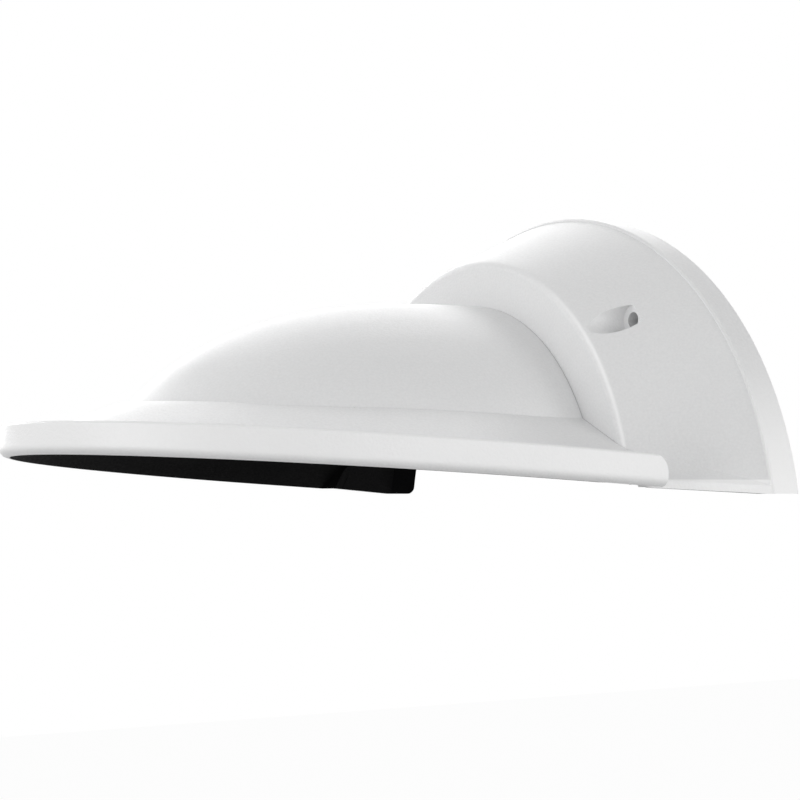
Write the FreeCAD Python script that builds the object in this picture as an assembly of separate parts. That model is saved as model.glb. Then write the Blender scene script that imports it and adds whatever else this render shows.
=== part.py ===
"""Sun shield for a dome camera on a wall.

An arched wall bracket tapers forward to a flat face, and a hood is screwed on that face: a long
half dome over the lens, with a sloping brim and an upturned lip that leads the rain to its two
rear ends. Black liners inside both keep stray light off the lens.

Units are millimetres. The shapes are laid out by three distances: x to the right as seen from
the wall, out from the wall towards the nose, and up from the lowest edge of the wall rim. Saved
pieces are moved so that the origin is midway between the two wall screws, on the wall, with +Z up
and the nose towards -Y.
"""
import FreeCAD, Part
import math
import os

# Wall rim, the part of the bracket that lies against the wall
RIM_HALF_WIDTH = 100.0
RIM_CENTRE_DROP = 15.5
RIM_RADIUS = math.hypot(RIM_HALF_WIDTH, RIM_CENTRE_DROP)
RIM_DEPTH = 9.8
RIM_STEP = 0.9
RIM_BACK_FILLET = 1.3
RIM_FRONT_CHAMFER = 0.5

# Tapered arch of the bracket, from the rim to its flat front face
FACE_OUT = 40.5
FACE_RADIUS = 77.0
FACE_CENTRE_UP = -7.0
FACE_FILLET = 1.8
BRACKET_WALL = 2.5

# Ledge and skirt under the arch's side walls
FOLD_UP_BACK = 2.5
FOLD_UP_FRONT = 12.4
SKIRT_INSET_BACK = 0.6
SKIRT_LIP_CLEARANCE = 7.0
SKIRT_HEIGHT = 2.1
FOLD_DROP_INSIDE = 1.4
LEDGE_DROP_INSIDE = 2.0

# Wall screws: a straight channel in each shoulder, with a hole in its floor
SCREW_SPACING = 122.0
SCREW_UP = 48.7
CHANNEL_RADIUS = 4.3
CHANNEL_FLOOR_OUT = 25.3
WALL_HOLE_RADIUS = 2.25
BOSS_WALL = 2.2
BOSS_RIB = 2.5

# Opening in the bracket's front face, for the camera's bubble
OPENING_MARGIN = 17.0
OPENING_CENTRE_UP = -5.4

# Hood seen from above: straight sides and a half ellipse for a nose
HOOD_HALF_WIDTH = 93.5
NOSE_START_OUT = 60.0
NOSE_LENGTH = 124.0
LIP_HEIGHT = 8.4
LIP_WALL = 2.5
LIP_BOTTOM_FILLET = 2.4
LIP_TOP_CHAMFER = 0.6
LIP_END_RADIUS = 5.0
LIP_CLEARANCE = 0.5
GUTTER_UP = 2.8
BRIM_SLOPE_DEG = 26.0
BRIM_RUN = 30.0
BRIM_RUN_REAR = 40.0
BRIM_RUN_REAR_END = 112.0
HOOD_WALL = 2.0
HOOD_TILT_DEG = 3.42
HOOD_HINGE_UP = -0.64

# Dome of the hood: half-ellipse sections whose width and height change towards the nose
DOME_HALF_WIDTH = 67.7
DOME_WIDEST_OUT = 74.0
DOME_BACK_LENGTH = 116.0
DOME_FRONT_LENGTH = 118.6
DOME_FRONT_POWER = 1.76
DOME_RISE = 66.0
DOME_CENTRE_UP = -9.3
DOME_CREST_OUT = 44.0
DOME_CREST_LENGTH = 111.0
DOME_CREST_POWER = 2.5
DOME_SECTIONS = 6
DOME_LAST_SHARE = 0.97

# Joint between hood and bracket
SEAM_GAP = 0.3
OPENING_RADIUS = DOME_HALF_WIDTH - OPENING_MARGIN
FLANGE_STEP = 2.0
FLANGE_THICKNESS = 3.0
HOOD_SCREW_INSET = 6.0
HOOD_SCREW_ANGLES = (-52.0, -20.0, 20.0, 52.0)
HOOD_BOSS_RADIUS = 4.6
HOOD_BOSS_LENGTH = 12.0
INSERT_RADIUS = 2.9
INSERT_LENGTH = 8.0
SCREW_RADIUS = 2.0
SCREW_LENGTH = 12.0
SCREW_HEAD_RADIUS = 3.9
SCREW_HEAD_HEIGHT = 2.6
SCREW_HEAD_CHAMFER = 0.8
SCREW_TIP_ROOM = 1.0
DRIVE_CORNERS = 6
DRIVE_RADIUS = 1.5
DRIVE_DEPTH = 1.4
HOLE_CLEARANCE = 0.25
FIT_CLEARANCE = 0.05

# Black liners
LINER_WALL = 1.2
LINER_GAP = 0.2
LINER_BACK = 0.4
LINER_CORNER = 2.4
BOSS_GAP = 0.5
SCREW_SEAT_OUT = FACE_OUT - BRACKET_WALL - LINER_WALL

ROUND_STEPS = 3
SAME_PLACE = 0.001
SAFE = 5.0
FAR = 400.0


def at(x, out, up):
    """A point given by its distance to the right, out from the wall and up from the rim's edge."""
    return FreeCAD.Vector(x, -out, up)


def brim_rise(run):
    return run * math.tan(math.radians(BRIM_SLOPE_DEG))


def box(x_half, out_from, out_to, up_from, up_to):
    """A block centred on the middle plane."""
    corner = at(-x_half, out_to, up_from)
    return Part.makeBox(2 * x_half, out_to - out_from, up_to - up_from, corner)


def rod(x, up, radius, out_from, out_to):
    """A cylinder that points out from the wall."""
    return Part.makeCylinder(radius, out_to - out_from, at(x, out_from, up), FreeCAD.Vector(0, -1, 0))


def fuse_all(shapes):
    whole = shapes[0]
    for shape in shapes[1:]:
        whole = whole.fuse(shape)
    return whole.removeSplitter()


def wall_screw_places():
    """Both wall screws, as x and up."""
    half = SCREW_SPACING / 2
    return [(-half, SCREW_UP), (half, SCREW_UP)]


def hood_screw_places():
    """The hood's screws, on a ring around the opening's centre."""
    places = []
    ring = OPENING_RADIUS + HOOD_SCREW_INSET
    for angle in HOOD_SCREW_ANGLES:
        turn = math.radians(angle)
        x = ring * math.sin(turn)
        up = OPENING_CENTRE_UP + ring * math.cos(turn)
        places.append((x, up))
    return places


# Bracket

def taper_at(out):
    """Radius, centre height, fold height, skirt half width and skirt foot of the arch at a depth."""
    share = (out - RIM_DEPTH) / (FACE_OUT - RIM_DEPTH)

    def between(back, front):
        return back + (front - back) * share

    radius = between(RIM_RADIUS - RIM_STEP, FACE_RADIUS)
    centre = between(-RIM_CENTRE_DROP, FACE_CENTRE_UP)
    fold = between(FOLD_UP_BACK, FOLD_UP_FRONT)
    skirt_front = HOOD_HALF_WIDTH - LIP_WALL - SKIRT_LIP_CLEARANCE
    skirt_half = between(RIM_HALF_WIDTH - SKIRT_INSET_BACK, skirt_front)
    foot = between(0.0, hood_plane_up(FACE_OUT))
    return radius, centre, fold, skirt_half, foot


def hood_plane_up(out):
    """Height of the hood's tilted bottom plane at a distance from the wall."""
    return HOOD_HINGE_UP + out * math.tan(math.radians(HOOD_TILT_DEG))


def arch_wire(out, size_out, grow, foot_drop=0.0, fold_drop=0.0, ledge_drop=0.0):
    """Outline of the arch at a depth, with the size it has at size_out, grown on every side."""
    radius, centre, fold, skirt_half, foot = taper_at(size_out)
    radius += grow
    skirt_half += grow
    fold -= fold_drop
    ledge = foot + SKIRT_HEIGHT + max(grow, 0.0) - ledge_drop
    foot -= foot_drop
    fold_x = math.sqrt(radius ** 2 - (fold - centre) ** 2)
    right = [at(skirt_half, out, foot), at(skirt_half, out, ledge), at(fold_x, out, fold)]
    left = [at(-p.x, out, p.z) for p in reversed(right)]
    edges = [Part.makeLine(a, b) for a, b in zip(right, right[1:])]
    edges.append(Part.Arc(right[-1], at(0, out, centre + radius), left[0]).toShape())
    edges += [Part.makeLine(a, b) for a, b in zip(left, left[1:])]
    edges.append(Part.makeLine(left[-1], right[0]))
    return Part.Wire(edges)


def rounding(radius):
    """Steps along a quarter round, as pairs: how far in from the side, how far from its end."""
    steps = []
    for number in range(ROUND_STEPS + 1):
        turn = math.pi / 2 * number / ROUND_STEPS
        steps.append((radius * (1 - math.cos(turn)), radius * (1 - math.sin(turn))))
    return steps


def arch_body(grow=0.0):
    """The tapered arch as a full solid, from the rim to the front face with its rounded edge."""
    wires = [arch_wire(RIM_DEPTH, RIM_DEPTH, grow)]
    for inset, from_face in rounding(FACE_FILLET):
        out = FACE_OUT - from_face
        wires.append(arch_wire(out, out, grow - inset))
    return Part.makeLoft(wires, True, True)


def arch_space(depth_inside, front_out):
    """The room inside the bracket, this far inside its skin, open at the wall and at the bottom."""
    drops = (SAFE, FOLD_DROP_INSIDE, LEDGE_DROP_INSIDE)
    straight = Part.makeLoft([arch_wire(-SAFE, RIM_DEPTH, -depth_inside, *drops),
                              arch_wire(RIM_DEPTH, RIM_DEPTH, -depth_inside, *drops)], True, True)
    taper = Part.makeLoft([arch_wire(RIM_DEPTH, RIM_DEPTH, -depth_inside, *drops),
                           arch_wire(front_out, front_out, -depth_inside, *drops)], True, True)
    return straight.fuse(taper)


def lies_at(edge, out):
    return all(abs(vertex.Point.y + out) < SAME_PLACE for vertex in edge.Vertexes)


def wall_rim():
    """The band against the wall, with a rounded back edge."""
    centre = -RIM_CENTRE_DROP
    right = at(RIM_HALF_WIDTH, 0, 0)
    left = at(-RIM_HALF_WIDTH, 0, 0)
    arc = Part.Arc(right, at(0, 0, centre + RIM_RADIUS), left).toShape()
    face = Part.Face(Part.Wire([arc, Part.makeLine(left, right)]))
    band = face.extrude(at(0, RIM_DEPTH, 0))
    band = band.makeFillet(RIM_BACK_FILLET, [edge for edge in band.Edges if lies_at(edge, 0)])
    front_edges = [edge for edge in band.Edges if lies_at(edge, RIM_DEPTH)]
    front_arc = max(front_edges, key=lambda edge: edge.Length)
    return band.makeChamfer(RIM_FRONT_CHAMFER, [front_arc])


def boss_rib(x, up, grow=0.0):
    """Rib from a wall screw's post out to the arch, grown on every side by a clearance."""
    half = BOSS_RIB / 2 + grow
    post_centre = math.hypot(x, up + RIM_CENTRE_DROP)
    height = RIM_RADIUS - post_centre
    length = CHANNEL_FLOOR_OUT + grow
    rib = Part.makeBox(2 * half, length, height, at(-half, length, post_centre))
    lean = math.degrees(math.atan2(x, up + RIM_CENTRE_DROP))
    rib.rotate(at(0, 0, 0), FreeCAD.Vector(0, 1, 0), lean)
    rib.translate(at(0, 0, -RIM_CENTRE_DROP))
    return rib


def screw_boss(x, up, grow=0.0):
    """Post round a wall screw, with the rib that ties it to the arch."""
    post = rod(x, up, CHANNEL_RADIUS + BOSS_WALL + grow, 0, FACE_OUT)
    return post.fuse(boss_rib(x, up, grow))


def front_opening(inset=0.0):
    """The way through the bracket's front: round for the bubble, and open below the hood's brim."""
    bubble = rod(0, OPENING_CENTRE_UP, OPENING_RADIUS - inset, RIM_DEPTH, FACE_OUT + SAFE)
    below_brim = under_brim(HOOD_WALL + LINER_GAP + LINER_WALL + inset)
    below_brim = below_brim.common(box(FAR, RIM_DEPTH, FACE_OUT + SAFE, -FAR, FAR))
    return bubble.fuse(below_brim.common(arch_space(BRACKET_WALL + inset, FACE_OUT + SAFE)))


def wall_bracket():
    skin = arch_body().fuse(wall_rim())
    shell = skin.cut(arch_space(BRACKET_WALL, FACE_OUT - BRACKET_WALL))
    for x, up in wall_screw_places():
        shell = shell.fuse(screw_boss(x, up).common(skin))
    for x, up in wall_screw_places():
        shell = shell.cut(rod(x, up, CHANNEL_RADIUS, CHANNEL_FLOOR_OUT, FACE_OUT + SAFE))
        shell = shell.cut(rod(x, up, WALL_HOLE_RADIUS, -SAFE, CHANNEL_FLOOR_OUT + SAFE))
    shell = shell.cut(front_opening())
    for x, up in hood_screw_places():
        shell = shell.cut(rod(x, up, SCREW_RADIUS + HOLE_CLEARANCE, RIM_DEPTH, FACE_OUT + SAFE))
    return shell.removeSplitter()


# Hood

def tilted(shape):
    """Turn a piece of the hood nose up, about the line where its bottom plane meets the wall."""
    turned = shape.copy()
    turned.rotate(at(0, 0, 0), FreeCAD.Vector(-1, 0, 0), HOOD_TILT_DEG)
    turned.translate(at(0, 0, HOOD_HINGE_UP))
    return turned


def half_ellipse(centre, half_width, reach, direction):
    """Half an ellipse from right to left around a centre, reaching this far in a direction."""
    arc = Part.Arc(at(1, 0, 0), direction, at(-1, 0, 0)).toShape()
    size = FreeCAD.Matrix()
    size.scale(half_width, reach, reach)
    arc = arc.transformGeometry(size)
    arc.translate(centre)
    return arc


def plan_wire(inset, up):
    """The hood's outline from above, moved inwards by an inset, before the tilt."""
    half = HOOD_HALF_WIDTH - inset
    nose = half_ellipse(at(0, NOSE_START_OUT, up), half, NOSE_LENGTH - inset, at(0, 1, 0))
    right_side = Part.makeLine(at(half, 0, up), at(half, NOSE_START_OUT, up))
    left_side = Part.makeLine(at(-half, NOSE_START_OUT, up), at(-half, 0, up))
    back = Part.makeLine(at(-half, 0, up), at(half, 0, up))
    return Part.Wire([right_side, nose, left_side, back])


def plan_block(inset, up_from, up_to):
    face = Part.Face(plan_wire(inset, up_from))
    return face.extrude(FreeCAD.Vector(0, 0, up_to - up_from))


def cone_block(inset_from, inset_to, up_from):
    """Solid under the brim's slope, between two insets."""
    up_to = up_from + brim_rise(inset_to - inset_from)
    return Part.makeLoft([plan_wire(inset_from, up_from), plan_wire(inset_to, up_to)], True, True)


def brim_solid():
    """Everything under the brim's slope, in two rings; the upper one is only needed at the rear."""
    lower = cone_block(LIP_WALL, BRIM_RUN, GUTTER_UP)
    upper = cone_block(BRIM_RUN, BRIM_RUN_REAR, GUTTER_UP + brim_rise(BRIM_RUN - LIP_WALL))
    nose = box(HOOD_HALF_WIDTH, BRIM_RUN_REAR_END, FAR, -SAFE, FAR)
    floor = plan_block(LIP_WALL, 0, GUTTER_UP)
    return fuse_all([floor, lower, upper.cut(nose)])


def lip_ring():
    """The upturned lip with its floor, and the rounded ends that let the water out."""
    wires = [plan_wire(inset, up) for up, inset in rounding(LIP_BOTTOM_FILLET)]
    wires.append(plan_wire(0, LIP_HEIGHT - LIP_TOP_CHAMFER))
    wires.append(plan_wire(LIP_TOP_CHAMFER, LIP_HEIGHT))
    block = Part.makeLoft(wires, True, True)
    ring = block.cut(plan_block(LIP_WALL, -SAFE, LIP_HEIGHT + SAFE))
    corner_out = FACE_OUT + LIP_END_RADIUS
    corner_up = LIP_HEIGHT - LIP_END_RADIUS
    notch = box(HOOD_HALF_WIDTH + SAFE, FACE_OUT - SAFE, corner_out, corner_up, LIP_HEIGHT + SAFE)
    across = FreeCAD.Vector(1, 0, 0)
    round_end = Part.makeCylinder(LIP_END_RADIUS, 2 * FAR, at(-FAR, corner_out, corner_up), across)
    ring = ring.cut(notch.cut(round_end))
    return ring.cut(box(FAR, -SAFE, FACE_OUT, -SAFE, FAR))


def dome_half_sizes(out, inside):
    """Half width and rise of the dome at a distance from the wall, this far inside its skin."""
    if out < DOME_WIDEST_OUT:
        narrowing = ((DOME_WIDEST_OUT - out) / DOME_BACK_LENGTH) ** 2
        width = math.sqrt(1 - narrowing)
    else:
        narrowing = ((out - DOME_WIDEST_OUT) / (DOME_FRONT_LENGTH - inside)) ** DOME_FRONT_POWER
        width = (1 - narrowing) ** (1 / DOME_FRONT_POWER)
    fall = (max(0.0, out - DOME_CREST_OUT) / (DOME_CREST_LENGTH - inside)) ** DOME_CREST_POWER
    height = (1 - fall) ** (1 / DOME_CREST_POWER)
    return (DOME_HALF_WIDTH - inside) * width, (DOME_RISE - inside) * height


def dome_wire(out, inside):
    """Outline of the dome at a distance from the wall, closed by a line across its base."""
    half, rise = dome_half_sizes(out, inside)
    arc = half_ellipse(at(0, out, DOME_CENTRE_UP), half, rise, at(0, 0, 1))
    base = Part.makeLine(at(-half, out, DOME_CENTRE_UP), at(half, out, DOME_CENTRE_UP))
    return Part.Wire([arc, base])


def dome_solid(inside, out_from):
    """The dome from a plane across it to its nose, as a loft; the nose end lies under the brim."""
    last = DOME_CREST_OUT + (DOME_CREST_LENGTH - inside) * DOME_LAST_SHARE
    wires = []
    for number in range(DOME_SECTIONS + 1):
        share = math.sin(math.pi / 2 * number / DOME_SECTIONS)
        wires.append(dome_wire(FACE_OUT + (last - FACE_OUT) * share, inside))
    dome = Part.makeLoft(wires, True, False)
    if out_from < FACE_OUT:
        back = Part.Face(dome_wire(FACE_OUT, inside))
        dome = dome.fuse(back.extrude(at(0, out_from - FACE_OUT, 0)))
    return dome


def under_brim(inside):
    """The room under the brim, this far inside its top skin, down past the hood's bottom plane."""
    drop = inside / math.cos(math.radians(BRIM_SLOPE_DEG))
    first = LIP_WALL + inside - HOOD_WALL + LIP_CLEARANCE
    up = GUTTER_UP + brim_rise(first - LIP_WALL) - drop
    well = plan_block(first, up - 2 * SAFE, up)
    lower = cone_block(first, BRIM_RUN, up)
    upper = cone_block(BRIM_RUN, BRIM_RUN_REAR, up + brim_rise(BRIM_RUN - first))
    nose = box(HOOD_HALF_WIDTH, BRIM_RUN_REAR_END, FAR, -SAFE, FAR)
    return tilted(fuse_all([well, lower, upper.cut(nose)]))


def hood_space(inside, back_out):
    """The room inside the whole hood, from a plane across it to the nose."""
    dome = dome_solid(inside, RIM_DEPTH)
    room = under_brim(inside).fuse(dome)
    return room.cut(box(FAR, -FAR, back_out, -FAR, FAR))


def hood_flange():
    """Ring inside the dome's rear edge, and the bosses for the screws' inserts."""
    slab = dome_solid(HOOD_WALL / 2, RIM_DEPTH)
    slab = slab.common(box(FAR, FACE_OUT, FACE_OUT + FLANGE_THICKNESS, -FAR, FAR))
    slab = slab.cut(rod(0, OPENING_CENTRE_UP, OPENING_RADIUS + FLANGE_STEP, 0, FAR))
    slab = slab.cut(under_brim(HOOD_WALL))
    slab = slab.cut(tilted(box(FAR, -FAR, FAR, -FAR, LIP_HEIGHT)))
    pieces = [slab]
    for x, up in hood_screw_places():
        pieces.append(rod(x, up, HOOD_BOSS_RADIUS, FACE_OUT, FACE_OUT + HOOD_BOSS_LENGTH))
    return fuse_all(pieces)


def sun_hood():
    brim = tilted(fuse_all([lip_ring(), brim_solid().cut(box(FAR, -SAFE, FACE_OUT, -SAFE, FAR))]))
    brim = brim.cut(arch_body(SEAM_GAP))
    dome = dome_solid(0.0, FACE_OUT)
    below = tilted(box(FAR, -FAR, FAR, -FAR, 0))
    skin = brim.fuse(dome.cut(below))
    shell = skin.cut(under_brim(HOOD_WALL)).cut(dome_solid(HOOD_WALL, RIM_DEPTH))
    hood = shell.fuse(hood_flange())
    for x, up in hood_screw_places():
        hood = hood.cut(rod(x, up, INSERT_RADIUS, FACE_OUT - SAFE, FACE_OUT + INSERT_LENGTH))
        tip_out = SCREW_SEAT_OUT + SCREW_LENGTH + SCREW_TIP_ROOM
        hood = hood.cut(rod(x, up, SCREW_RADIUS + HOLE_CLEARANCE, FACE_OUT, tip_out))
    return hood.removeSplitter()


# Liners

def joint_liner():
    """The hood liner's rear end: a web on the bracket's face and a sleeve through its opening."""
    web_out = FACE_OUT + LINER_GAP
    web_end = web_out + LINER_WALL
    web = under_brim(HOOD_WALL + LINER_GAP).common(box(FAR, web_out, web_end, -FAR, FAR))
    sleeve = front_opening(LINER_GAP)
    sleeve = sleeve.common(box(FAR, FACE_OUT - BRACKET_WALL + LINER_GAP, web_end, -FAR, FAR))
    return web.fuse(sleeve).cut(front_opening(LINER_GAP + LINER_WALL))


def hood_liner():
    shell = hood_space(HOOD_WALL + LINER_GAP, FACE_OUT + FLANGE_THICKNESS + LINER_GAP)
    brim = under_brim(HOOD_WALL + LINER_GAP).cut(box(FAR, -FAR, FACE_OUT + LINER_GAP, -FAR, FAR))
    liner = shell.fuse(brim).cut(hood_space(HOOD_WALL + LINER_GAP + LINER_WALL, FACE_OUT))
    liner = liner.fuse(joint_liner()).cut(tilted(box(FAR, -FAR, FAR, -FAR, 0)))
    for x, up in hood_screw_places():
        boss_end = FACE_OUT + HOOD_BOSS_LENGTH + BOSS_GAP
        liner = liner.cut(rod(x, up, HOOD_BOSS_RADIUS + BOSS_GAP, FACE_OUT, boss_end))
    return liner.removeSplitter()


def rounded_reach():
    """All that lies out from the wall and above the rim's edge, with the corner between rounded."""
    reach = box(FAR, LINER_BACK, FAR, 0, FAR)
    corner = [edge for edge in reach.Edges if lies_at(edge, LINER_BACK) and edge.BoundBox.ZMax < SAFE]
    return reach.makeFillet(LINER_CORNER, corner)


def bracket_liner():
    front = FACE_OUT - BRACKET_WALL
    outer = arch_space(BRACKET_WALL + LINER_GAP, front)
    liner = outer.cut(arch_space(BRACKET_WALL + LINER_GAP + LINER_WALL, front - LINER_WALL))
    inner = arch_space(BRACKET_WALL + LINER_GAP + LINER_WALL, front)
    liner = liner.common(rounded_reach()).cut(tilted(box(FAR, -FAR, FAR, -FAR, 0)))
    liner = liner.cut(front_opening().common(inner))
    for x, up in wall_screw_places():
        liner = liner.cut(screw_boss(x, up, BOSS_GAP))
    for x, up in hood_screw_places():
        liner = liner.cut(rod(x, up, SCREW_RADIUS + HOLE_CLEARANCE, RIM_DEPTH, FACE_OUT))
    return liner.removeSplitter()


# Fasteners

def hood_screw(x, up):
    """Pan-head screw, put in from the wall side through liner and face into the hood."""
    head_out = SCREW_SEAT_OUT - SCREW_HEAD_HEIGHT
    head = rod(x, up, SCREW_HEAD_RADIUS, head_out, SCREW_SEAT_OUT)
    top_edge = [edge for edge in head.Edges if lies_at(edge, head_out)]
    head = head.makeChamfer(SCREW_HEAD_CHAMFER, top_edge)
    shank = rod(x, up, SCREW_RADIUS - FIT_CLEARANCE, SCREW_SEAT_OUT, SCREW_SEAT_OUT + SCREW_LENGTH)
    corners = []
    for corner in range(DRIVE_CORNERS):
        turn = 2 * math.pi * corner / DRIVE_CORNERS
        across = x + DRIVE_RADIUS * math.cos(turn)
        corners.append(at(across, head_out, up + DRIVE_RADIUS * math.sin(turn)))
    socket = Part.Face(Part.makePolygon(corners + corners[:1])).extrude(at(0, DRIVE_DEPTH, 0))
    return head.fuse(shank).cut(socket)


def hood_insert(x, up):
    """Brass thread insert in the hood's boss."""
    body = rod(x, up, INSERT_RADIUS - FIT_CLEARANCE, FACE_OUT, FACE_OUT + INSERT_LENGTH)
    return body.cut(rod(x, up, SCREW_RADIUS, FACE_OUT - SAFE, FACE_OUT + INSERT_LENGTH + SAFE))


def save(name, shapes):
    """Move solids to the part's origin and write them as one STEP file."""
    moved = []
    for shape in shapes:
        for solid in shape.Solids:
            solid = solid.copy()
            solid.translate(at(0, 0, -SCREW_UP))
            moved.append(solid)
    shape = moved[0] if len(moved) == 1 else Part.Compound(moved)
    shape.exportStep(os.path.join("parts", name + ".step"))
    print(name, "solids", len(moved), "valid", shape.isValid(), "volume", round(shape.Volume))


os.makedirs("parts", exist_ok=True)
save("wall_bracket", [wall_bracket()])
save("sun_hood", [sun_hood()])
save("hood_liner", [hood_liner()])
save("bracket_liner", [bracket_liner()])
save("hood_screws", [hood_screw(x, up) for x, up in hood_screw_places()])
save("hood_inserts", [hood_insert(x, up) for x, up in hood_screw_places()])
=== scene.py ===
# %% [markdown]
# A sun shield for a dome camera on a wall, finished and lit in Blender. The solid model comes in as
# a fixed frame: every piece already has its real size and place, so this file only gives surfaces
# their finish, adds what is too fine for the solid model, and sets up light, floor and camera.

# %% Load the frame
import math
import bmesh
import bpy
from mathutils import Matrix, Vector


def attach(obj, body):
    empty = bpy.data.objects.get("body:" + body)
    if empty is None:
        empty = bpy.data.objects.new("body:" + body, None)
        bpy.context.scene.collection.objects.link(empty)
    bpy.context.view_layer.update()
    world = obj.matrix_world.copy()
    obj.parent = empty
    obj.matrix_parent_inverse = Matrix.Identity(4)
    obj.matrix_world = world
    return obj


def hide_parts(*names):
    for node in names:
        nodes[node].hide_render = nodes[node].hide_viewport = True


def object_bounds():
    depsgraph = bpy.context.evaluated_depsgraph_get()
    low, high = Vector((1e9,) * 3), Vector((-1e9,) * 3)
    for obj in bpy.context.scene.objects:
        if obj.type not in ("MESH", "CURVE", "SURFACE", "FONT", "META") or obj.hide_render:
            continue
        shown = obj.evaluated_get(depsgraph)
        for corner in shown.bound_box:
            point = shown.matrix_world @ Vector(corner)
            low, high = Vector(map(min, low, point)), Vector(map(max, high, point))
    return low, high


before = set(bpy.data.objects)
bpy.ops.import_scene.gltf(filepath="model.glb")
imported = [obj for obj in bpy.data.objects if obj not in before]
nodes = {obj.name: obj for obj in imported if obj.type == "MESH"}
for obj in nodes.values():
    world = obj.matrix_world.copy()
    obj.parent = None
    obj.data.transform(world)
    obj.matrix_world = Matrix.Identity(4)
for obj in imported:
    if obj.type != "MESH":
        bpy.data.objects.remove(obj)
cad_box = [list(corner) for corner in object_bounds()]
print("frame nodes:", sorted(nodes))
print("frame box in metres:", [[round(v, 4) for v in corner] for corner in cad_box])

# %% [markdown]
# Lengths in this file are metres, but finishes and small fasteners are thought of in millimetres.
# One factor keeps the numbers readable.

# %% A unit for small lengths
MM = 0.001
print("one millimetre is", MM, "metres")

# %% [markdown]
# Materials are node trees. Each one here is a Principled shader whose colour, roughness and bump
# come from noise on Object coordinates. Those coordinates are metres fixed to the piece, so a grain
# of half a millimetre is half a millimetre on every piece, whatever its size. A picture of the
# grain could be laid on the skin instead, but it would have to be unwrapped first and turns soft
# close up.

# %% Start a finish, and give it noise
def new_finish(name, roughness, metallic=0.0):
    """A material, its tree and its shader; the roughness is for viewers that read no noise."""
    material = bpy.data.materials.new(name)
    material.use_nodes = True
    tree = material.node_tree
    shader = next(node for node in tree.nodes if node.type == "BSDF_PRINCIPLED")
    shader.inputs["Roughness"].default_value = roughness
    shader.inputs["Metallic"].default_value = metallic
    return material, tree, shader


def noise(tree, size, detail, stretch=(1.0, 1.0, 1.0)):
    """Noise with cells of about this size in metres, on Object coordinates."""
    coordinates = tree.nodes.new("ShaderNodeTexCoord")
    mapping = tree.nodes.new("ShaderNodeMapping")
    mapping.inputs["Scale"].default_value = stretch
    texture = tree.nodes.new("ShaderNodeTexNoise")
    texture.inputs["Scale"].default_value = 1.0 / size
    texture.inputs["Detail"].default_value = detail
    tree.links.new(coordinates.outputs["Object"], mapping.inputs["Vector"])
    tree.links.new(mapping.outputs["Vector"], texture.inputs["Vector"])
    return texture.outputs["Fac"]


print("helpers: new_finish, noise")

# %% [markdown]
# Noise is a grey value that stays near the middle of its scale. A Map Range node carries that
# middle to any two values, such as a smooth and a rough one, and a Mix node carries it to two
# colours. With these two, each finish reads as a short list.

# %% Turn noise into values and colours
NOISE_MIDDLE = (0.3, 0.7)


def mapped(tree, value, source, target, kind="LINEAR"):
    """A value carried from one range to another; a range is (first, last)."""
    node = tree.nodes.new("ShaderNodeMapRange")
    node.interpolation_type = kind
    for name, bound in zip(("From Min", "From Max", "To Min", "To Max"), (*source, *target)):
        node.inputs[name].default_value = bound
    tree.links.new(value, node.inputs["Value"])
    return node.outputs["Result"]


def mixed(tree, factor, first, second, kind="RGBA"):
    """A mix by a linked factor; each end is a link or a constant."""
    mix = tree.nodes.new("ShaderNodeMix")
    mix.data_type = kind
    tree.links.new(factor, mix.inputs["Factor"])
    for name, end in (("A", first), ("B", second)):
        if isinstance(end, bpy.types.NodeSocket):
            tree.links.new(end, mix.inputs[name])
        else:
            mix.inputs[name].default_value = (*end, 1.0) if kind == "RGBA" else end
    return mix.outputs["Result"]


print("helpers: mapped, mixed")

# %% [markdown]
# A mould leaves its grain and its waviness in the same skin, so the bumps of a finish stand in a
# row, and each one starts from the normal that the last one gives. Real geometry would need
# millions of faces for this.

# %% Turn noise into relief
def relief(tree, shader, heights):
    """Bumps in a row: each height is (link, depth in metres, strength)."""
    previous = None
    for height, depth, strength in heights:
        bump = tree.nodes.new("ShaderNodeBump")
        bump.inputs["Distance"].default_value = depth
        bump.inputs["Strength"].default_value = strength
        tree.links.new(height, bump.inputs["Height"])
        if previous is not None:
            tree.links.new(previous, bump.inputs["Normal"])
        previous = bump.outputs["Normal"]
    tree.links.new(previous, shader.inputs["Normal"])


print("helper: relief")

# %% [markdown]
# Some outer edges of the white shells are painted paler and made a little smoother: painted light
# and painted highlights. Such bands can be painted by hand or read from the curvature of the skin.
# Here a soft step on an Object coordinate is enough, because each of these edges lies at a known
# height or depth. Masks are joined with Math nodes.

# %% Helpers for masks
def along(tree, axis):
    """An Object coordinate."""
    coordinates = tree.nodes.new("ShaderNodeTexCoord")
    parts = tree.nodes.new("ShaderNodeSeparateXYZ")
    tree.links.new(coordinates.outputs["Object"], parts.inputs["Vector"])
    return parts.outputs[axis]


def fade(tree, value, span):
    """A soft step: 0 at the first end of the span, 1 at its last."""
    return mapped(tree, value, span, (0.0, 1.0), kind="SMOOTHSTEP")


def joined(tree, operation, first, second):
    """A Math node on a linked value and a linked or constant one."""
    node = tree.nodes.new("ShaderNodeMath")
    node.operation = operation
    tree.links.new(first, node.inputs[0])
    if isinstance(second, float):
        node.inputs[1].default_value = second
    else:
        tree.links.new(second, node.inputs[1])
    return node.outputs["Value"]


print("helpers: along, fade, joined")

# %% [markdown]
# The hood's upright lip is painted lighter: painted light, with a lower roughness. The hood is
# tilted nose up by a few degrees, so the lip rises towards the nose, and a share of the depth is
# added to the height to level it. The mask fades out above the lip, and below it where the lip
# rolls under.

# %% Where the hood's lip is painted lighter
LIP_SLOPE = 0.0602
LIP_TOP_SPAN = (-40.8 * MM, -41.4 * MM)
LIP_ROLL_SPAN = (-48.8 * MM, -47.4 * MM)
# How much painted light the lip gets.
LIP_PAINTED_LIGHT = 0.75


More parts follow.
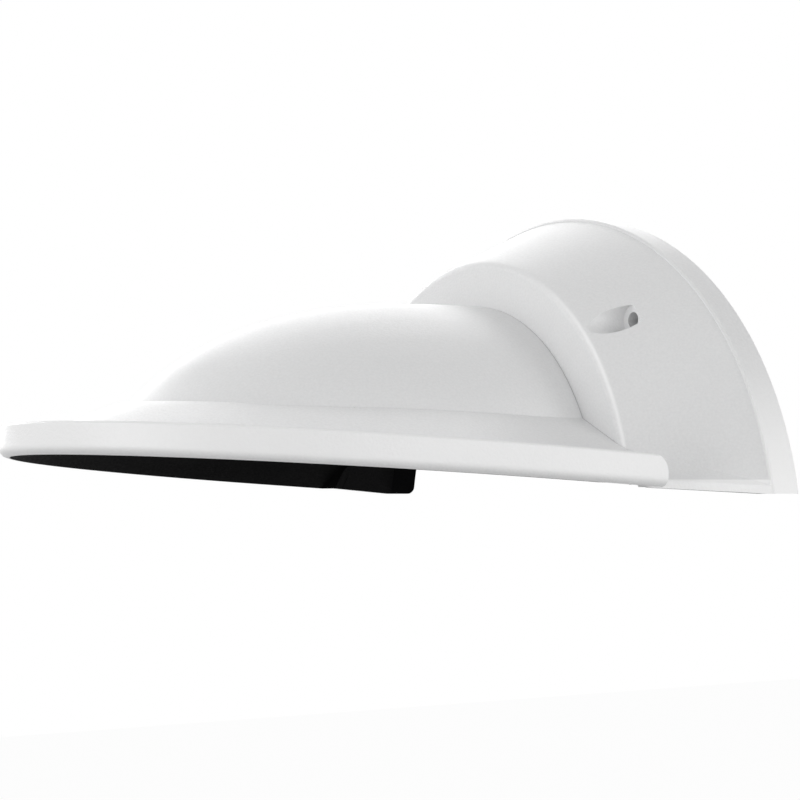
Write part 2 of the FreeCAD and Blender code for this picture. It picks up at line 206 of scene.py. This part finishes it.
def painted_light_lip(tree):
    """The hood's upright lip, which gets painted light."""
    rise = joined(tree, "MULTIPLY", along(tree, "Y"), LIP_SLOPE)
    level = joined(tree, "ADD", along(tree, "Z"), rise)
    below_top = fade(tree, level, LIP_TOP_SPAN)
    above_roll = fade(tree, level, LIP_ROLL_SPAN)
    upright = joined(tree, "MULTIPLY", below_top, above_roll)
    return joined(tree, "MULTIPLY", upright, LIP_PAINTED_LIGHT)


print("lip rubbed between", round(LIP_TOP_SPAN[0] / MM, 1), "and",
      round(LIP_ROLL_SPAN[0] / MM, 1), "mm")

# %% [markdown]
# On the bracket three places are painted lighter. The edge round its flat face gets a painted
# highlight, and the front edge of the rim that lies on the wall and the ledge along the bottom get
# painted light. The first two are painted lighter lower down, so each is multiplied by a fade over
# the height. The face's depth comes from the frame.

# %% Where the bracket is painted lighter
FACE_PLANE = min(vert.co.y for vert in nodes["wall_bracket"].data.vertices)
EDGE_MIDDLE = FACE_PLANE + 0.8 * MM
EDGE_REACH = 0.55 * MM
EDGE_HEIGHTS = (18 * MM, -10 * MM)
RIM_FRONT_SPAN = (-10.1 * MM, -9.5 * MM)
RIM_HEIGHTS = (-5 * MM, -40 * MM)
LEDGE_SPAN = (-44.75 * MM, -45.15 * MM)


def painted_light_bracket(tree):
    """The bracket's front edge (painted highlight), its rim and its ledge (painted light)."""
    away = joined(tree, "SUBTRACT", along(tree, "Y"), EDGE_MIDDLE)
    distance = joined(tree, "ABSOLUTE", away, 0.0)
    near_edge = fade(tree, distance, (EDGE_REACH, 0.0))
    edge = joined(tree, "MULTIPLY", near_edge, fade(tree, along(tree, "Z"), EDGE_HEIGHTS))
    near_rim = fade(tree, along(tree, "Y"), RIM_FRONT_SPAN)
    rim = joined(tree, "MULTIPLY", near_rim, fade(tree, along(tree, "Z"), RIM_HEIGHTS))
    ledge = fade(tree, along(tree, "Z"), LEDGE_SPAN)
    # Painted highlight on the face's edge, and painted light on the rim and the ledge.
    return joined(tree, "MAXIMUM", joined(tree, "MAXIMUM", edge, rim), ledge)


print("bracket's face at", round(FACE_PLANE / MM, 2), "mm, its rubbed edge at",
      round(EDGE_MIDDLE / MM, 2), "mm")

# %% [markdown]
# The hood gets painted shade in its inner corners, where it meets the bracket and where the dome
# rises from the brim. A line could be painted there, but it would have the same width everywhere.
# Ambient occlusion with a reach under a millimetre finds the corners by itself, and is stronger
# where they are tighter.

# %% Where the hood gets painted shade in its inner corners
CORNER_REACH = 0.7 * MM
CORNER_SAMPLES = 8
CORNER_SPAN = (0.5, 0.95)


def painted_corner_shade(tree):
    """Painted shade: one where another wall stands close by, and nought in the open."""
    corner = tree.nodes.new("ShaderNodeAmbientOcclusion")
    corner.samples = CORNER_SAMPLES
    corner.inputs["Distance"].default_value = CORNER_REACH
    return mapped(tree, corner.outputs["AO"], CORNER_SPAN, (1.0, 0.0))


print("corners are shaded within", round(CORNER_REACH / MM, 2), "mm")

# %% [markdown]
# The white shells are weather-proof plastic from a spark-eroded mould. Close up the skin has a fine
# grain, which breaks the highlights into a soft speckle, and a very slight waviness from cooling.
# Both are bump, about a tenth of a millimetre deep. The grain also darkens its own pits a little.
# The bracket and the hood have the same plastic, and differ only in where they get painted light
# and in the hood's painted shade in its inner corners, so one function makes both.

# %% White shell finish
GRAIN_SIZE = 0.7 * MM
GRAIN_DEPTH = 0.13 * MM
GRAIN_STRENGTH = 0.8
WAVE_SIZE = 30 * MM
WAVE_DEPTH = 0.05 * MM
WAVE_STRENGTH = 0.25
WHITE_DARK = (0.789, 0.791, 0.794)
WHITE_LIGHT = (0.819, 0.820, 0.822)
GRAIN_PIT = (0.680, 0.682, 0.686)
PIT_SHARES = (0.0, 0.3)
# Painted light and painted highlights: the paler white on the lip and the bracket's edge, rim,
# ledge.
PAINTED_LIGHT_WHITE = (0.95, 0.95, 0.95)
# The colour of the painted shade in the hood's inner corners.
CORNER_SHADE = (0.50, 0.50, 0.51)
PLAIN_ROUGHNESS = 0.42
WHITE_ROUGHNESS = (0.36, 0.50)
PAINTED_LIGHT_ROUGHNESS = 0.34
WHITE_SPECULAR = 0.45


def shell_finish(name, painted_light_where, paints_corner_shade):
    """White plastic with painted light where the given mask says; the hood gets painted shade in
    corners.
    """
    material, tree, shader = new_finish(name, PLAIN_ROUGHNESS)
    grain = noise(tree, GRAIN_SIZE, detail=3.0)
    wave = noise(tree, WAVE_SIZE, detail=1.0)
    painted_light = painted_light_where(tree)
    pits = mapped(tree, grain, NOISE_MIDDLE, PIT_SHARES)
    colour = mixed(tree, pits, mixed(tree, wave, WHITE_DARK, WHITE_LIGHT), GRAIN_PIT)
    # Painted light and painted highlights, where the mask says.
    colour = mixed(tree, painted_light, colour, PAINTED_LIGHT_WHITE)
    if paints_corner_shade:
        # Painted shade in the hood's inner corners.
        colour = mixed(tree, painted_corner_shade(tree), colour, CORNER_SHADE)
    rough = mapped(tree, grain, NOISE_MIDDLE, WHITE_ROUGHNESS)
    rough = mixed(tree, painted_light, rough, PAINTED_LIGHT_ROUGHNESS, kind="FLOAT")
    tree.links.new(colour, shader.inputs["Base Color"])
    tree.links.new(rough, shader.inputs["Roughness"])
    relief(tree, shader, [(wave, WAVE_DEPTH, WAVE_STRENGTH), (grain, GRAIN_DEPTH, GRAIN_STRENGTH)])
    shader.inputs["Specular IOR Level"].default_value = WHITE_SPECULAR
    return material


white_shell = shell_finish("white_shell", painted_light_bracket, paints_corner_shade=False)
hood_shell = shell_finish("white_shell_hood", painted_light_lip, paints_corner_shade=True)
print("white shell:", len(white_shell.node_tree.nodes), "shader nodes")
print("hood shell:", len(hood_shell.node_tree.nodes), "shader nodes")

# %% [markdown]
# The liners are there to swallow stray light, so they are moulded in matte black, from a mould with
# the same grain. A rough surface with very little specular keeps even a low sun from glinting off
# them.

# %% Black liner finish
LINER_DEPTH = 0.05 * MM
LINER_STRENGTH = 0.8
BLACK_DARK = (0.0015, 0.0015, 0.0016)
BLACK_LIGHT = (0.0030, 0.0030, 0.0032)
MATTE_ROUGHNESS = 0.75
BLACK_ROUGHNESS = (0.62, 0.85)
BLACK_SPECULAR = 0.015


def black_liner_finish():
    """Matte black plastic, a little patchy."""
    material, tree, shader = new_finish("black_liner", MATTE_ROUGHNESS)
    grain = noise(tree, GRAIN_SIZE, detail=3.0)
    patch = noise(tree, WAVE_SIZE, detail=2.0)
    rough = mapped(tree, grain, NOISE_MIDDLE, BLACK_ROUGHNESS)
    tree.links.new(mixed(tree, patch, BLACK_DARK, BLACK_LIGHT), shader.inputs["Base Color"])
    tree.links.new(rough, shader.inputs["Roughness"])
    relief(tree, shader, [(grain, LINER_DEPTH, LINER_STRENGTH)])
    shader.inputs["Specular IOR Level"].default_value = BLACK_SPECULAR
    return material


black_liner = black_liner_finish()
print("black liner:", len(black_liner.node_tree.nodes), "shader nodes")

# %% [markdown]
# The fasteners are metal: stainless screws and brass inserts, both made from drawn rod. Drawing
# leaves fine streaks along the rod. Noise that is stretched along that axis gives them, in colour,
# roughness and relief at once.

# %% Metal finishes
DRAWN_SIZE = 0.6 * MM
DRAWN_STRETCH = (1.0, 0.15, 1.0)
DRAWN_DEPTH = 0.01 * MM
DRAWN_STRENGTH = 0.5
STEEL_DARK = (0.52, 0.52, 0.53)
STEEL_LIGHT = (0.66, 0.66, 0.66)
STEEL_ROUGHNESS = (0.25, 0.42)
BRASS_DARK = (0.62, 0.45, 0.18)
BRASS_LIGHT = (0.76, 0.58, 0.27)
BRASS_ROUGHNESS = (0.28, 0.45)


def metal_finish(name, dark, light, roughness):
    """Drawn metal that runs between two colours and two values of roughness."""
    material, tree, shader = new_finish(name, roughness[0], metallic=1.0)
    drawn = noise(tree, DRAWN_SIZE, detail=4.0, stretch=DRAWN_STRETCH)
    rough = mapped(tree, drawn, NOISE_MIDDLE, roughness)
    tree.links.new(mixed(tree, drawn, dark, light), shader.inputs["Base Color"])
    tree.links.new(rough, shader.inputs["Roughness"])
    relief(tree, shader, [(drawn, DRAWN_DEPTH, DRAWN_STRENGTH)])
    return material


steel_screw = metal_finish("steel_screw", STEEL_DARK, STEEL_LIGHT, STEEL_ROUGHNESS)
brass_insert = metal_finish("brass_insert", BRASS_DARK, BRASS_LIGHT, BRASS_ROUGHNESS)
print("metals:", steel_screw.name, brass_insert.name)

# %% [markdown]
# A solid model's mesh is loose triangles: each has corners of its own, so a curved skin would show
# every facet. The moulded pieces get a dressed copy, which stands for the solid in every view. Its
# doubled corners are merged first. Then all faces are shaded smooth, and only real edges stay
# crisp: ridges that bend outwards sharply, and inner creases from a much smaller angle, because the
# outer edges of a moulding are rounded and its inner corners are tight.

# %% Merge a piece and keep its real edges
MERGE_REACH = 0.002 * MM
SHARP_RIDGE = math.radians(36)
SHARP_CREASE = math.radians(12)


def merged(node):
    """An editable copy of a node's mesh with its doubled corners merged."""
    work = bmesh.new()
    work.from_mesh(nodes[node].data)
    bmesh.ops.remove_doubles(work, verts=work.verts, dist=MERGE_REACH)
    return work


def shade_smooth(work):
    """Smooth faces between crisp ridges and creases."""
    for face in work.faces:
        face.smooth = True
    for edge in work.edges:
        if edge.is_manifold:
            limit = SHARP_RIDGE if edge.is_convex else SHARP_CREASE
            edge.smooth = edge.calc_face_angle() < limit


print("helpers: merged, shade_smooth")

# %% [markdown]
# The hood's liner ends in a web on the bracket's face. On the right, near the end of the lip, the
# web's lower edge stood out below the white as a thin black strip. A fitter would trim that edge
# with a knife. Here its points are raised instead, by less than a millimetre.

# %% Trim the liner's web
WEB_LOW = -46.3 * MM
WEB_FRONT = -44.0 * MM


def trim_web(work):
    """Raise the web's lower edge on the right to the level where the lip hides it."""
    for vert in work.verts:
        if vert.co.y > WEB_FRONT and vert.co.x > 0:
            vert.co.z = max(vert.co.z, WEB_LOW)


print("web ends no lower than", round(WEB_LOW / MM, 1), "mm")

# %% [markdown]
# Smooth shading alone would bend the light on a flat wall beside its rounding. Normals weighted by
# the area of the faces keep the wall flat and let the small rounding take all of the turn. The
# modifier is applied before the copy replaces its solid, so that the mesh itself holds the shading.

# %% Dress the moulded pieces
LARGE_FACE_WEIGHT = 100


def in_scene(name, data):
    """A new object in the scene that holds this mesh, lamp or camera."""
    thing = bpy.data.objects.new(name, data)
    bpy.context.scene.collection.objects.link(thing)
    return thing


def plain_mesh(thing):
    """The mesh of an object with its modifiers applied."""
    ready = thing.evaluated_get(bpy.context.evaluated_depsgraph_get())
    return bpy.data.meshes.new_from_object(ready)


def dressed_copy(node, material):
    """A merged, smoothly shaded copy of a node that replaces it."""
    mesh = nodes[node].data.copy()
    mesh.name = node + "_skin"
    piece = in_scene(node + "_skin", mesh)
    work = merged(node)
    shade_smooth(work)
    if node == "hood_liner":
        trim_web(work)
    work.to_mesh(mesh)
    work.free()
    if mesh.has_custom_normals:
        mesh.attributes.remove(mesh.attributes["custom_normal"])
    mesh.materials.clear()
    mesh.materials.append(material)
    weigh = piece.modifiers.new("weigh", "WEIGHTED_NORMAL")
    weigh.mode = "FACE_AREA"
    weigh.weight = LARGE_FACE_WEIGHT
    weigh.keep_sharp = True
    piece.data = plain_mesh(piece)
    piece.data.name = node + "_skin"
    piece.modifiers.clear()
    print(piece.name, "keeps its weighted normals:", piece.data.has_custom_normals)
    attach(piece, "root")
    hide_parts(node)
    return piece


for node, material, slot in (
    ("wall_bracket", white_shell, "white_shell"),
    ("sun_hood", hood_shell, "white_shell"),
    ("hood_liner", black_liner, "black_liner"),
    ("bracket_liner", black_liner, "black_liner"),
):
    piece = dressed_copy(node, material)
    print(piece.name, len(piece.data.vertices), "points", len(piece.data.polygons), "faces")

# %% [markdown]
# The inserts are plain rings in the frame and stay as they are; they only need their metal.

# %% Finish the inserts
inserts = nodes["hood_inserts"]
inserts.data.materials.clear()
inserts.data.materials.append(brass_insert)
print("inserts:", len(inserts.data.polygons), "faces")

# %% [markdown]
# Four pan-head screws hold the hood on the bracket. They are plain in the frame: a real one has a
# coarse spiral thread and a hex socket. Their places aren't written down here a second time. They
# are read from the frame, by walking over the joined edges of the screws' mesh until each separate
# solid is found, and taking the middle of its box.

# %% Read the screws' places from the frame
def solids_of(node):
    """Boxes of the separate solids of a node, as (low, high) corners."""
    work = merged(node)
    left = set(work.verts)
    boxes = []
    while left:
        island = [left.pop()]
        for vert in island:
            for edge in vert.link_edges:
                other = edge.other_vert(vert)
                if other in left:
                    left.discard(other)
                    island.append(other)
        low = Vector([min(v.co[i] for v in island) for i in range(3)])
        high = Vector([max(v.co[i] for v in island) for i in range(3)])
        boxes.append((low, high))
    work.free()
    return sorted(boxes, key=lambda pair: pair[0].x)


screw_boxes = solids_of("hood_screws")
screw_places = [(low + high) / 2 for low, high in screw_boxes]
screw_length = max((high - low).y for low, high in screw_boxes)
for place in screw_places:
    print("screw at", [round(v / MM, 2) for v in place], "mm")

# %% [markdown]
# A screw is a turned part, so its mesh is a row of rings round its axis. In the socket a ring is a
# hexagon. On the thread each ring falls by one pitch in its turn, so the ridge runs round as a
# spiral, and steps back in the last stretch of the turn. A profile swept along a spiral would have
# no such step, but would have to be joined to the shank, and the thread is out of sight.

# %% Rings round the screw's axis
AROUND = 36


def hexagon(turn):
    """A hexagon's reach in this direction, as a share of the reach of its corners."""
    sixth = math.pi / 3
    return math.cos(sixth / 2) / math.cos(turn % sixth - sixth / 2)


def ring(radius, height, is_hex=False, fall=0.0):
    """Points round the y axis about a height; the ring can fall by an amount in its turn."""
    points = []
    for step in range(AROUND):
        turn = 2 * math.pi * step / AROUND
        reach = radius * hexagon(turn) if is_hex else radius
        level = height + fall * (0.5 - step / AROUND)
        points.append((reach * math.cos(turn), level, reach * math.sin(turn)))
    return points


print("rings of", AROUND, "points")

# %% [markdown]
# The rings run from the bottom of the socket, over the rounded rim of the pan head, down to the
# shank and along the thread to the tip. The head's outline is a short list of radii and of depths
# below its top, and one turn of the thread is a list of radii and shares of the pitch.

# %% The outline of one screw
HEAD_RADIUS = 3.9 * MM
HEAD_HEIGHT = 2.6 * MM
SHANK_RADIUS = 1.95 * MM
SOCKET_RADIUS = 1.5 * MM
SOCKET_DEPTH = 1.4 * MM
SOCKET_CONE = 0.3 * MM
SOCKET_RIM = 0.08 * MM
THREAD_ROOT = 1.6 * MM
THREAD_PITCH = 0.7 * MM
THREAD_START = 0.3 * MM
THREAD_END = 0.6 * MM
TIP_RADIUS = THREAD_ROOT - 0.3 * MM
POINT_RADIUS = 0.02 * MM
HEAD_OUTLINE = (
    (SOCKET_RADIUS, 0.02 * MM),
    (2.6 * MM, 0.0),
    (3.35 * MM, 0.12 * MM),
    (HEAD_RADIUS - 0.12 * MM, 0.75 * MM),
    (HEAD_RADIUS, 1.4 * MM),
    (HEAD_RADIUS, HEAD_HEIGHT - 0.1 * MM),
    (HEAD_RADIUS - 0.1 * MM, HEAD_HEIGHT),
    (SHANK_RADIUS, HEAD_HEIGHT),
)
THREAD_OUTLINE = (
    (THREAD_ROOT, 0.0),
    (SHANK_RADIUS, 0.35),
    (SHANK_RADIUS, 0.5),
    (THREAD_ROOT, 0.85),
)


def screw_rings(length):
    """Rings of a screw whose head's top is at +length / 2 and whose tip is at -length / 2."""
    top = length / 2
    tip = -length / 2
    rings = [
        ring(POINT_RADIUS, top - SOCKET_DEPTH - SOCKET_CONE),
        ring(SOCKET_RADIUS, top - SOCKET_DEPTH, is_hex=True),
        ring(SOCKET_RADIUS, top - SOCKET_RIM, is_hex=True),
    ]
    rings += [ring(radius, top - depth) for radius, depth in HEAD_OUTLINE]
    height = top - HEAD_HEIGHT - THREAD_START
    while height > tip + THREAD_END:
        for radius, share in THREAD_OUTLINE:
            rings.append(ring(radius, height - share * THREAD_PITCH, fall=THREAD_PITCH))
        height -= THREAD_PITCH
    return rings + [ring(TIP_RADIUS, tip), ring(POINT_RADIUS, tip)]


print("rings in a screw:", len(screw_rings(screw_length)))

# %% [markdown]
# Each ring is joined to the next by a band of quads, and the first and the last are closed by a
# small face. The faces are made to point outwards, and edges sharper than an angle stay crisp, so
# that the head is smooth and the socket keeps its corners.

# %% Model one screw along its axis
CRISP_ANGLE = math.radians(35)


def screw_mesh(length):
    """A screw as one closed mesh."""
    points = [point for points_of_ring in screw_rings(length) for point in points_of_ring]
    last = len(points) - AROUND
    faces = []
    for start in range(0, last, AROUND):
        for step in range(AROUND):
            here, after = start + step, start + (step + 1) % AROUND
            faces.append((here, after, after + AROUND, here + AROUND))
    faces.append(tuple(reversed(range(AROUND))))
    faces.append(tuple(range(last, len(points))))
    mesh = bpy.data.meshes.new("screw_pattern")
    mesh.from_pydata(points, [], faces)
    work = bmesh.new()
    work.from_mesh(mesh)
    bmesh.ops.recalc_face_normals(work, faces=work.faces)
    for face in work.faces:
        face.smooth = True
    work.to_mesh(mesh)
    work.free()
    mesh.set_sharp_from_angle(angle=CRISP_ANGLE)
    return mesh


pattern = in_scene("screw_pattern", screw_mesh(screw_length))
pattern.data.materials.append(steel_screw)
print("screw:", round(screw_length / MM, 2), "mm long,", len(pattern.data.polygons), "faces")

# %% [markdown]
# Screws of one kind are the same piece four times, so one pattern is set on four points by a
# Geometry Nodes tree. Copies made in a loop would do too, but the tree also turns each screw by an
# angle of its own, from a fixed seed, because no fitter stops all of them at the same turn. The
# tree ends in Realize Instances and Set Material, because the export drops instances.

# %% A tree that sets fasteners on points
TURN_SEED = 7


def scatter_tree(name):
    """A node group that puts one object on every point and turns it about its axis."""
    tree = bpy.data.node_groups.new(name, "GeometryNodeTree")
    tree.interface.new_socket("Points", in_out="INPUT", socket_type="NodeSocketGeometry")
    tree.interface.new_socket("Fastener", in_out="INPUT", socket_type="NodeSocketObject")
    tree.interface.new_socket("Metal", in_out="INPUT", socket_type="NodeSocketMaterial")
    seed = tree.interface.new_socket("Seed", in_out="INPUT", socket_type="NodeSocketInt")
    seed.default_value = TURN_SEED
    tree.interface.new_socket("Fasteners", in_out="OUTPUT", socket_type="NodeSocketGeometry")
    entry = tree.nodes.new("NodeGroupInput")
    leave = tree.nodes.new("NodeGroupOutput")
    to_points = tree.nodes.new("GeometryNodeMeshToPoints")
    info = tree.nodes.new("GeometryNodeObjectInfo")
    turn = tree.nodes.new("FunctionNodeRandomValue")
    turn.data_type = "FLOAT"
    turn.inputs["Min"].default_value = 0.0
    turn.inputs["Max"].default_value = 2 * math.pi
    angles = tree.nodes.new("ShaderNodeCombineXYZ")
    instance = tree.nodes.new("GeometryNodeInstanceOnPoints")
    realize = tree.nodes.new("GeometryNodeRealizeInstances")
    paint = tree.nodes.new("GeometryNodeSetMaterial")
    link = tree.links.new
    link(entry.outputs["Points"], to_points.inputs["Mesh"])
    link(entry.outputs["Fastener"], info.inputs["Object"])
    link(entry.outputs["Seed"], turn.inputs["Seed"])
    link(turn.outputs["Value"], angles.inputs["Y"])
    link(to_points.outputs["Points"], instance.inputs["Points"])
    link(info.outputs["Geometry"], instance.inputs["Instance"])
    link(angles.outputs["Vector"], instance.inputs["Rotation"])
    link(instance.outputs["Instances"], realize.inputs["Geometry"])
    link(realize.outputs["Geometry"], paint.inputs["Geometry"])
    link(entry.outputs["Metal"], paint.inputs["Material"])
    link(paint.outputs["Geometry"], leave.inputs["Fasteners"])
    return tree


print("helper: scatter_tree")

# %% [markdown]
# The tree runs on a small mesh that has only the four points. What it makes is read back as a plain
# mesh in an object of its own, and the points and the pattern are removed. A modifier calls the
# tree's inputs by their identifiers, so these are looked up by name first.

# %% Put the screws in place
def input_name(tree, label):
    """The identifier of a tree's input, which is what a modifier's setting is called."""
    return next(item.identifier for item in tree.interface.items_tree
                if item.in_out == "INPUT" and item.name == label)


def place_fasteners(name, places, fastener, metal):
    """A plain mesh of one fastener on each place, made by the scatter tree."""
    tree = scatter_tree(name + "_tree")
    seats = bpy.data.meshes.new(name + "_seats")
    seats.from_pydata([tuple(place) for place in places], [], [])
    carrier = in_scene(name + "_carrier", seats)
    modifier = carrier.modifiers.new("scatter", "NODES")
    modifier.node_group = tree
    modifier[input_name(tree, "Fastener")] = fastener
    modifier[input_name(tree, "Metal")] = metal
    mesh = plain_mesh(carrier)
    mesh.name = name
    bpy.data.objects.remove(carrier)
    return in_scene(name, mesh)


screws = place_fasteners("hood_screws_detailed", screw_places, pattern, steel_screw)
bpy.data.objects.remove(pattern)
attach(screws, "root")
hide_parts("hood_screws")
print("screws:", len(screws.data.polygons), "faces of", screws.data.materials[0].name)

# %% [markdown]
# The floor and the surround both show pure white to the camera and to reflections, while the object
# gets only their plain light. A Light Path node tells the kinds of rays apart. Brighter lamps would
# whiten the background too, but would burn out the shield's own white.

# %% A helper that tells rays apart
def seen_by(tree, kinds):
    """One for rays of these kinds, and nought for all others."""
    rays = tree.nodes.new("ShaderNodeLightPath")
    seen = rays.outputs[kinds[0]]
    for kind in kinds[1:]:
        seen = joined(tree, "MAXIMUM", seen, rays.outputs[kind])
    return seen


print("helper: seen_by")

# %% [markdown]
# The shield hangs on a wall, so nothing touches it from below, and the floor lies well under it. A
# small share of the floor's surface is plain and takes the shield's soft shadow. The rest glows
# white to the camera.

# %% Floor
FLOOR_DROP = 0.90
FLOOR_REACH = 6.0
FLOOR_GREY = (0.5, 0.5, 0.5, 1.0)
FLOOR_ROUGHNESS = 0.9
FLOOR_SPECULAR = 0.1
FLOOR_GLOW = 1.08
FLOOR_GLOW_SHARE = 0.88


def floor_finish():
    """A floor that is mostly its own white glow to the camera, and plain to all else."""
    material, tree, shader = new_finish("floor_white", FLOOR_ROUGHNESS)
    shader.inputs["Base Color"].default_value = FLOOR_GREY
    shader.inputs["Specular IOR Level"].default_value = FLOOR_SPECULAR
    glow = tree.nodes.new("ShaderNodeEmission")
    glow.inputs["Strength"].default_value = FLOOR_GLOW
    seen = seen_by(tree, ("Is Camera Ray", "Is Glossy Ray"))
    mix = tree.nodes.new("ShaderNodeMixShader")
    output = next(node for node in tree.nodes if node.type == "OUTPUT_MATERIAL")
    tree.links.new(joined(tree, "MULTIPLY", seen, FLOOR_GLOW_SHARE), mix.inputs["Fac"])
    tree.links.new(shader.outputs["BSDF"], mix.inputs[1])
    tree.links.new(glow.outputs["Emission"], mix.inputs[2])
    tree.links.new(mix.outputs["Shader"], output.inputs["Surface"])
    return material


floor_level = cad_box[0][2] - FLOOR_DROP
corners = [(x * FLOOR_REACH, y * FLOOR_REACH, floor_level)
           for x, y in ((-1, -1), (1, -1), (1, 1), (-1, 1))]
floor_mesh = bpy.data.meshes.new("floor")
floor_mesh.from_pydata(corners, [], [(0, 1, 2, 3)])
floor_mesh.materials.append(floor_finish())
floor = in_scene("floor", floor_mesh)
print("floor at", round(floor_level, 3), "m")

# %% [markdown]
# The surround is the fill light of a white studio: even, and the same from all sides. To the object
# it is a plain grey, and to the camera, reflections and clear plastic it is pure white.

# %% World
FILL = 0.44
PURE_WHITE = (1.0, 1.0, 1.0, 1.0)


def white_world():
    """A surround that lights with the fill and shows as white."""
    world = bpy.data.worlds.new("studio")
    world.use_nodes = True
    tree = world.node_tree
    fill = next(node for node in tree.nodes if node.type == "BACKGROUND")
    shown = tree.nodes.new("ShaderNodeBackground")
    for background, strength in ((fill, FILL), (shown, 1.0)):
        background.inputs["Color"].default_value = PURE_WHITE
        background.inputs["Strength"].default_value = strength
    seen = seen_by(tree, ("Is Camera Ray", "Is Glossy Ray", "Is Transmission Ray"))
    mix = tree.nodes.new("ShaderNodeMixShader")
    output = next(node for node in tree.nodes if node.type == "OUTPUT_WORLD")
    tree.links.new(seen, mix.inputs["Fac"])
    tree.links.new(fill.outputs["Background"], mix.inputs[1])
    tree.links.new(shown.outputs["Background"], mix.inputs[2])
    tree.links.new(mix.outputs["Shader"], output.inputs["Surface"])
    return world


bpy.context.scene.world = white_world()
print("world:", bpy.context.scene.world.name, "with fill", FILL)

# %% [markdown]
# Six wide lamps shape the white on white: one above and behind whitens what faces up, a low one at
# the left whitens the nose's edge, two at the right light the bracket's side, and two at the front
# its face. Each place is measured from the middle of the shield, in metres, and each lamp is a
# square of a given side that faces that middle.

# %% Lamps
LAMPS = (
    ("lamp_behind", (-1.0, 0.6, 0.8), 1.0, 6.4),
    ("lamp_left", (-1.4, 0.1, 0.3), 0.6, 3.8),
    ("lamp_right", (1.5, 0.0, 0.0), 0.8, 4.2),
    ("lamp_right_back", (1.2, 0.9, 0.0), 0.8, 5.4),
    ("lamp_front", (0.15, -1.45, 0.0), 0.8, 6.3),
    ("lamp_front_left", (-0.6, -1.0, 0.8), 0.8, 4.2),
)
middle = Vector([(low + high) / 2 for low, high in zip(*cad_box)])

for name, place, side, power in LAMPS:
    lamp = bpy.data.lights.new(name, "AREA")
    lamp.shape = "SQUARE"
    lamp.size = side
    lamp.energy = power
    holder = in_scene(name, lamp)
    holder.location = middle + Vector(place)
    holder.rotation_euler = (middle - holder.location).to_track_quat("-Z", "Y").to_euler()
    print(name, "of", power, "W,", round((holder.location - middle).length, 2), "m away")

# %% [markdown]
# A view transform stands between the light that reaches the camera and the colours of the picture.
# The default one softens highlights and greys the white. Standard shows a colour as it is written,
# so a background of strength 1 is pure white.

# %% View
bpy.context.scene.view_settings.view_transform = "Standard"
print("view transform:", bpy.context.scene.view_settings.view_transform)

# %% [markdown]
# The photograph was matched by its straight and round edges: the camera stands level with the
# shield's lowest edge, to the right of the nose, and looks up by three degrees.

# %% Camera
CAMERA_PLACE = (451.79 * MM, -342.22 * MM, -48.77 * MM)
CAMERA_AZIMUTH = math.radians(58.433)
CAMERA_PITCH = math.radians(3.017)
CAMERA_LENS = 80.26
CAMERA_SENSOR = 36.0
CAMERA_NEAR = 10 * MM

lens = bpy.data.cameras.new("camera")
lens.lens = CAMERA_LENS
lens.sensor_width = CAMERA_SENSOR
lens.clip_start = CAMERA_NEAR
camera = in_scene("camera", lens)
camera.location = CAMERA_PLACE
camera.rotation_euler = (math.pi / 2 + CAMERA_PITCH, 0.0, CAMERA_AZIMUTH)
bpy.context.scene.camera = camera
print("camera at", [round(v, 3) for v in camera.location], "lens", CAMERA_LENS, "mm")
